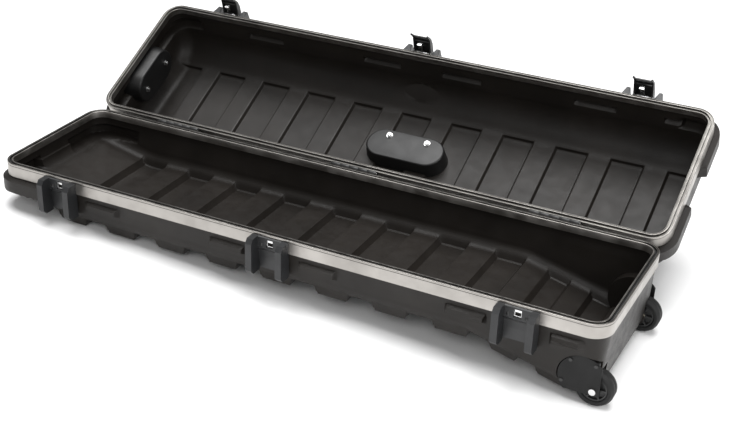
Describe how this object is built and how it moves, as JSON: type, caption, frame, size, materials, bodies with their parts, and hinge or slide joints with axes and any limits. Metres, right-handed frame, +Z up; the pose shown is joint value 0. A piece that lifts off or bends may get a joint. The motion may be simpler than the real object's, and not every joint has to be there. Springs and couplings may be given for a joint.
{
  "type": "golf travel case",
  "caption": "Long hard-shell wheeled travel case for a golf bag, lying open, with a ribbed vaulted lid, metal rims, lever latches, folding handles and corner wheels.",
  "frame": {"origin": "middle of the open case on the floor: the centre of its bounding box, at its lowest height", "axes": "+X along the case towards the wheels, -Y towards the latch side of the base, +Z up"},
  "size_m": [1.301, 0.7069, 0.3497],
  "materials": {
    "shell_plastic": "pebbled moulded",
    "valance_aluminium": "satin anodised",
    "seal_rubber": "matte",
    "guard_plastic": "fine texture",
    "strike_steel": "bright zinc",
    "black_screw": "satin",
    "rivet_steel": "satin",
    "hinge_steel": "black powder coat",
    "latch_plastic": "satin",
    "latch_steel": "black",
    "wheel_rubber": "worn matte",
    "wheel_plastic": "satin",
    "cover_plastic": "fine texture",
    "bush_plastic": "satin",
    "bolt_steel": "zinc plated",
    "handle_tray": "satin",
    "handle_rubber": "matte",
    "badge_metal": "brushed"
  },
  "bodies": {
    "base": {"base_shell": "shell_plastic", "base_valance": "valance_aluminium", "valance_seal": "seal_rubber", "latch_guard_left": "guard_plastic", "latch_guard_middle": "guard_plastic", "latch_guard_right": "guard_plastic", "strike_left": "strike_steel", "strike_middle": "strike_steel", "strike_right": "strike_steel", "guard_rivets": "black_screw", "hinge_base_left": "hinge_steel", "hinge_base_middle": "hinge_steel", "hinge_base_right": "hinge_steel", "hinge_pins": "rivet_steel", "hinge_base_rivets": "rivet_steel", "wheel_cover_front": "cover_plastic", "wheel_cover_rear": "cover_plastic", "wheel_cover_screws": "black_screw", "axle_front": "bolt_steel", "axle_rear": "bolt_steel", "axle_nuts": "bolt_steel"},
    "wheel_front": {"wheel_tyre_front": "wheel_rubber", "wheel_hub_front": "wheel_plastic", "wheel_bush_front": "bush_plastic"},
    "wheel_rear": {"wheel_tyre_rear": "wheel_rubber", "wheel_hub_rear": "wheel_plastic", "wheel_bush_rear": "bush_plastic"},
    "lid": {"lid_shell": "shell_plastic", "lid_valance": "valance_aluminium", "lid_guards": "guard_plastic", "latch_base_left": "latch_steel", "latch_base_middle": "latch_steel", "latch_base_right": "latch_steel", "latch_rivets": "rivet_steel", "lever_pins": "rivet_steel", "hinge_lid_left": "hinge_steel", "hinge_lid_middle": "hinge_steel", "hinge_lid_right": "hinge_steel", "hinge_lid_rivets": "rivet_steel", "carry_handle_pocket": "handle_tray", "carry_handle_bolts": "bolt_steel", "carry_handle_pins": "rivet_steel", "end_handle_pocket": "handle_tray", "end_handle_bolts": "bolt_steel", "end_handle_pins": "rivet_steel", "badge_plate": "badge_metal"},
    "carry_handle": {"carry_handle_grip": "handle_rubber"},
    "end_handle": {"end_handle_grip": "handle_rubber"},
    "lever_left": {"lever_left": "latch_plastic", "link_pin_left": "rivet_steel"},
    "link_left": {"link_left": "strike_steel"},
    "lever_middle": {"lever_middle": "latch_plastic", "link_pin_middle": "rivet_steel"},
    "link_middle": {"link_middle": "strike_steel"},
    "lever_right": {"lever_right": "latch_plastic", "link_pin_right": "rivet_steel"},
    "link_right": {"link_right": "strike_steel"}
  },
  "joints": [
    {"name": "lid_hinge", "type": "hinge", "parent": "base", "child": "lid", "pos_m": [-0.00464, 0.0042, 0.13164], "axis": [0.9985, 0, 0.0539], "range_deg": [0, 152.7]},
    {"name": "lever_left_pivot", "type": "hinge", "parent": "lid", "child": "lever_left", "pos_m": [-0.48777, 0.32343, 0.23225], "axis": [0.9985, 0, 0.0539], "range_deg": [-82, 8]},
    {"name": "link_left_pivot", "type": "hinge", "parent": "lever_left", "child": "link_left", "pos_m": [-0.4888, 0.31144, 0.25133], "axis": [0.9985, 0, 0.0539], "range_deg": [-8, 82]},
    {"name": "lever_middle_pivot", "type": "hinge", "parent": "lid", "child": "lever_middle", "pos_m": [-0.01146, 0.32343, 0.25797], "axis": [0.9985, 0, 0.0539], "range_deg": [-82, 8]},
    {"name": "link_middle_pivot", "type": "hinge", "parent": "lever_middle", "child": "link_middle", "pos_m": [-0.01249, 0.31144, 0.27705], "axis": [0.9985, 0, 0.0539], "range_deg": [-8, 82]},
    {"name": "lever_right_pivot", "type": "hinge", "parent": "lid", "child": "lever_right", "pos_m": [0.46484, 0.32343, 0.28369], "axis": [0.9985, 0, 0.0539], "range_deg": [-82, 8]},
    {"name": "link_right_pivot", "type": "hinge", "parent": "lever_right", "child": "link_right", "pos_m": [0.46381, 0.31144, 0.30277], "axis": [0.9985, 0, 0.0539], "range_deg": [-8, 82]},
    {"name": "carry_handle_pivot", "type": "hinge", "parent": "lid", "child": "carry_handle", "pos_m": [0.02148, 0.20168, 0.09313], "axis": [0.9985, 0, 0.0539], "range_deg": [0, 90], "stiffness_Nm_per_rad": 0.08, "springref_deg": -34.38},
    {"name": "end_handle_pivot", "type": "hinge", "parent": "lid", "child": "end_handle", "pos_m": [-0.61679, 0.17677, 0.11791], "axis": [0.0247, -0.8886, -0.458], "range_deg": [0, 90], "stiffness_Nm_per_rad": 0.08, "springref_deg": -34.38},
    {"name": "wheel_front_spin", "type": "hinge", "parent": "base", "child": "wheel_front", "pos_m": [0.61653, -0.298, 0.034], "axis": [0, 1, 0], "continuous": true},
    {"name": "wheel_rear_spin", "type": "hinge", "parent": "base", "child": "wheel_rear", "pos_m": [0.61653, -0.028, 0.034], "axis": [0, 1, 0], "continuous": true}
  ],
  "couplings": [
    {"joint": "link_left_pivot", "follows": "lever_left_pivot", "ratio": -1},
    {"joint": "link_middle_pivot", "follows": "lever_middle_pivot", "ratio": -1},
    {"joint": "link_right_pivot", "follows": "lever_right_pivot", "ratio": -1}
  ]
}
